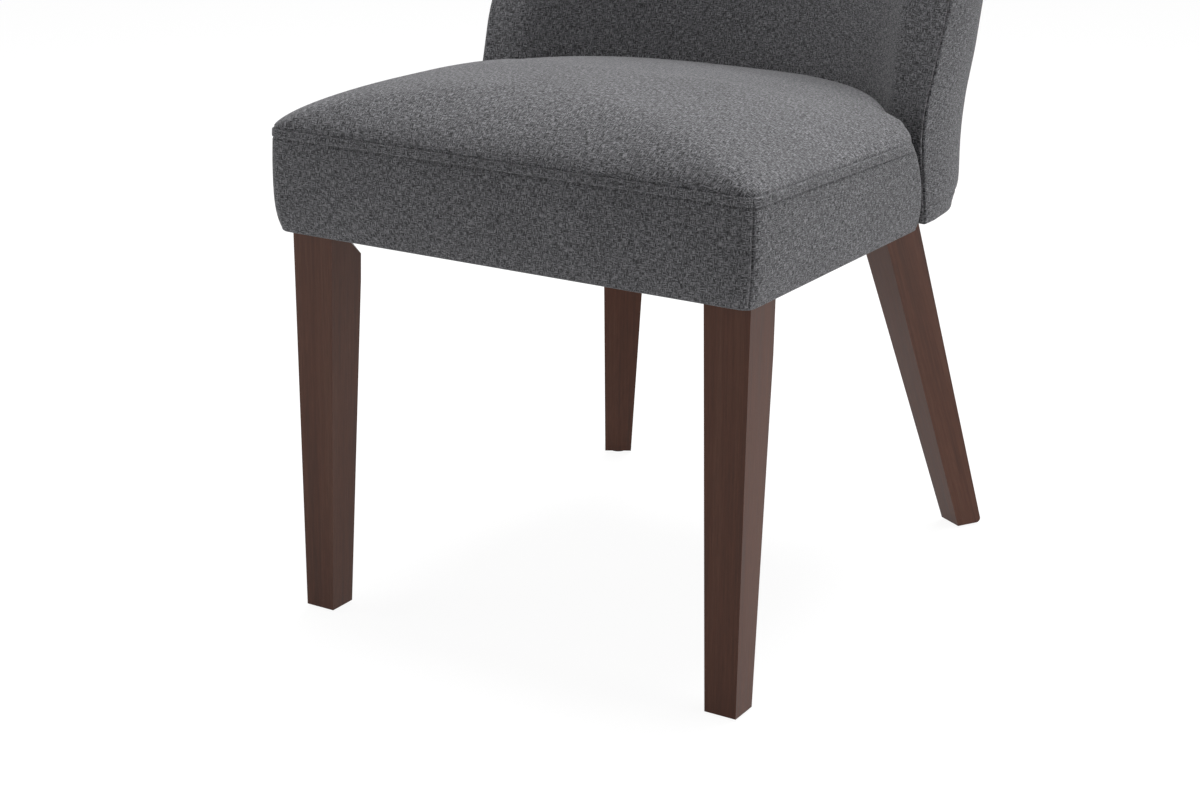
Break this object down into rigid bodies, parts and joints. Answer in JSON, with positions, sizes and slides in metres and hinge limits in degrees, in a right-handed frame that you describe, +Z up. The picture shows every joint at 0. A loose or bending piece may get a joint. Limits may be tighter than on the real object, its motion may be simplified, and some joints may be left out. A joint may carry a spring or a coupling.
{
  "type": "upholstered dining chair",
  "caption": "Upholstered dining chair with a crowned box seat, a curved barrel back with wings and tapered wooden legs, the rear ones splayed.",
  "frame": {"origin": "on the floor, under the middle of the chair's outline", "axes": "+Z up, +Y towards the back, +X to the sitter's left"},
  "size_m": [0.4798, 0.6297, 0.89],
  "materials": {
    "upholstery": "woven, grey melange",
    "leg_wood": "dark stain, satin",
    "frame_wood": "planed, bare",
    "board_wood": "thin bent plywood",
    "foam": "upholstery foam",
    "wadding": "polyester wadding",
    "webbing": "elastic webbing",
    "dust_cloth": "non-woven cloth",
    "zinc_steel": "zinc plated",
    "glide_plastic": "moulded"
  },
  "bodies": {
    "root": {"front_left_leg": "leg_wood", "front_right_leg": "leg_wood", "rear_left_leg": "leg_wood", "rear_right_leg": "leg_wood", "foot_glides": "glide_plastic", "front_rail": "frame_wood", "left_side_rail": "frame_wood", "right_side_rail": "frame_wood", "rear_rail": "frame_wood", "rear_left_diagonal_rail": "frame_wood", "rear_right_diagonal_rail": "frame_wood", "front_left_corner_block": "frame_wood", "front_right_corner_block": "frame_wood", "rear_left_corner_block": "frame_wood", "rear_right_corner_block": "frame_wood", "front_block_screws": "zinc_steel", "rear_block_screws": "zinc_steel", "frame_dowels": "frame_wood", "hanger_bolts": "zinc_steel", "hanger_washers": "zinc_steel", "hanger_nuts": "zinc_steel", "rear_leg_bolts": "zinc_steel", "rear_leg_washers": "zinc_steel", "rear_leg_inserts": "zinc_steel", "back_bolts": "zinc_steel", "back_bolt_washers": "zinc_steel", "back_bolt_inserts": "zinc_steel", "seat_webbing_lengthwise": "webbing", "seat_webbing_crosswise": "webbing", "seat_foam": "foam", "seat_edge_padding": "foam", "seat_top_panel": "upholstery", "seat_front_boxing": "upholstery", "seat_left_boxing": "upholstery", "seat_right_boxing": "upholstery", "dust_cover": "dust_cloth", "dust_cover_staples": "zinc_steel", "back_left_post": "frame_wood", "back_right_post": "frame_wood", "back_bottom_rail": "frame_wood", "back_lumbar_rail": "frame_wood", "back_top_rail": "frame_wood", "back_dowels": "frame_wood", "back_board": "board_wood", "back_webbing": "webbing", "back_foam": "foam", "back_left_wing_pad": "foam", "back_right_wing_pad": "foam", "back_wadding": "wadding", "back_top_pad": "foam", "back_inside_panel": "upholstery", "back_outside_panel": "upholstery"}
  },
  "joints": []
}
